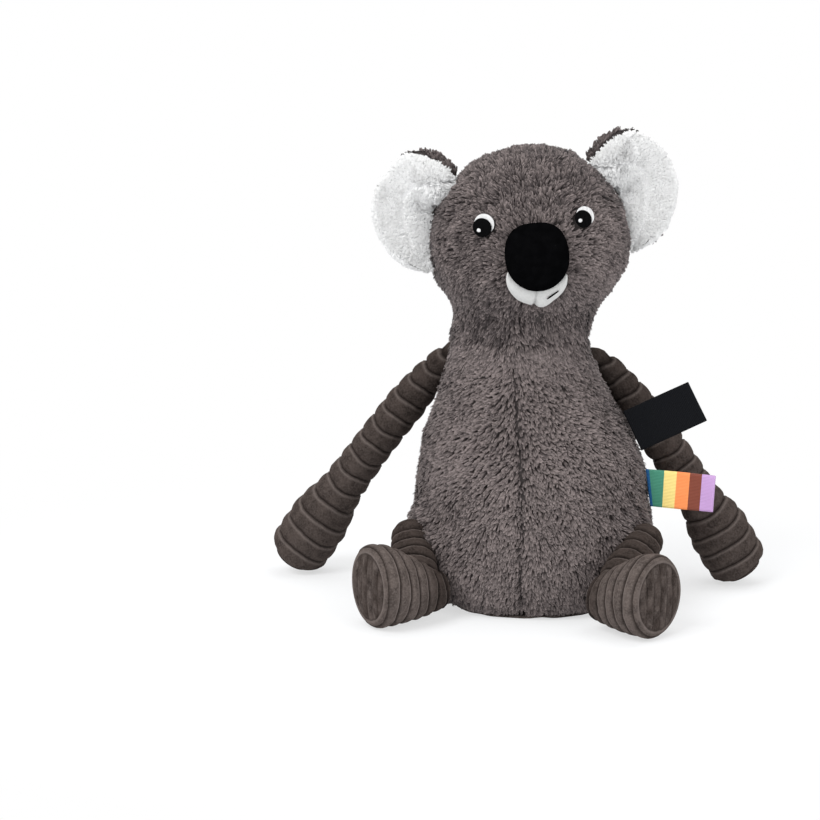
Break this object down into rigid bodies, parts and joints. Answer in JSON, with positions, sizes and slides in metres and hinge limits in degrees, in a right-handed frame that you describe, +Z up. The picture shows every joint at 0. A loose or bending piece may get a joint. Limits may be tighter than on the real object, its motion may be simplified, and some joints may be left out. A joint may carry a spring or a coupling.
{
  "type": "plush koala",
  "caption": "Sitting plush koala with a fur body and head, padded black nose, white cupped ears, ribbed velour arms and legs, and two side tags.",
  "frame": {"origin": "middle of the flat underside, on the floor the toy sits on", "axes": "+Z up; the toy faces -Y; +X is to the viewer's right, the side with the two tags"},
  "size_m": [0.3447, 0.2057, 0.3198],
  "materials": {
    "fur": "short dense grey-brown pile, matt",
    "velour": "ribbed grey-brown velour, soft sheen",
    "white_plush": "long white pile, matt",
    "nose_velvet": "black velvet, matt",
    "mouth_cloth": "smooth white short pile",
    "black_thread": "black satin-stitch embroidery",
    "white_thread": "white satin-stitch embroidery",
    "filling": "polyester fibre filling",
    "pellet_cloth": "plain inner cloth",
    "label_weave": "black woven ribbon, bare",
    "ribbon_weave": "woven satin ribbon in plain colour stripes"
  },
  "bodies": {
    "body": {"body_skin": "fur", "base_panel": "velour", "body_stuffing": "filling", "pellet_bag": "pellet_cloth"},
    "head": {"head_skin": "fur", "head_stuffing": "filling", "nose_pad": "nose_velvet", "mouth_patch": "mouth_cloth", "mouth_stitch": "black_thread", "eye_white_left": "white_thread", "eye_pupil_left": "black_thread", "eye_glint_left": "white_thread", "eye_white_right": "white_thread", "eye_pupil_right": "black_thread", "eye_glint_right": "white_thread"},
    "label": {"woven_label": "label_weave"},
    "ribbon": {"striped_ribbon": "ribbon_weave"},
    "ear_left": {"ear_front_left": "white_plush", "ear_back_left": "fur"},
    "arm_left": {"arm_skin_left": "velour", "arm_stuffing_left": "filling"},
    "leg_left": {"leg_skin_left": "velour", "leg_stuffing_left": "filling", "foot_sole_left": "velour"},
    "ear_right": {"ear_front_right": "white_plush", "ear_back_right": "fur"},
    "arm_right": {"arm_skin_right": "velour", "arm_stuffing_right": "filling"},
    "leg_right": {"leg_skin_right": "velour", "leg_stuffing_right": "filling", "foot_sole_right": "velour"}
  },
  "joints": [
    {"name": "neck_turn", "type": "hinge", "parent": "body", "child": "head", "pos_m": [-0.008, 0, 0.182], "axis": [0, 0, 1], "range_deg": [-20, 20], "stiffness_Nm_per_rad": 0.12},
    {"name": "ear_fold_left", "type": "hinge", "parent": "head", "child": "ear_left", "pos_m": [-0.07031, -0.00654, 0.26502], "axis": [0.0944, 0.0166, -0.9954], "range_deg": [0, 20], "stiffness_Nm_per_rad": 0.01},
    {"name": "ear_fold_right", "type": "hinge", "parent": "head", "child": "ear_right", "pos_m": [0.06007, 0.01645, 0.27777], "axis": [-0.0944, -0.0166, 0.9954], "range_deg": [0, 20], "stiffness_Nm_per_rad": 0.01},
    {"name": "arm_raise_left", "type": "hinge", "parent": "body", "child": "arm_left", "pos_m": [-0.05754, 0.0291, 0.16695], "axis": [0, 1, 0], "range_deg": [0, 75]},
    {"name": "arm_raise_right", "type": "hinge", "parent": "body", "child": "arm_right", "pos_m": [0.04428, 0.02901, 0.1632], "axis": [0, -1, 0], "range_deg": [0, 75]},
    {"name": "leg_lift_left", "type": "hinge", "parent": "body", "child": "leg_left", "pos_m": [-0.08417, -0.03937, 0.05463], "axis": [-0.4067, 0.9135, 0], "range_deg": [0, 45]},
    {"name": "leg_lift_right", "type": "hinge", "parent": "body", "child": "leg_right", "pos_m": [0.08563, -0.03694, 0.05474], "axis": [-0.3746, -0.9272, 0], "range_deg": [0, 45]},
    {"name": "label_flap", "type": "hinge", "parent": "body", "child": "label", "pos_m": [0.06777, -0.004, 0.11851], "axis": [0.4284, 0, -0.9036], "range_deg": [-5, 45], "stiffness_Nm_per_rad": 0.002},
    {"name": "ribbon_flap", "type": "hinge", "parent": "body", "child": "ribbon", "pos_m": [0.07838, -0.004, 0.08049], "axis": [0.1244, 0, -0.9922], "range_deg": [-5, 45], "stiffness_Nm_per_rad": 0.002}
  ]
}
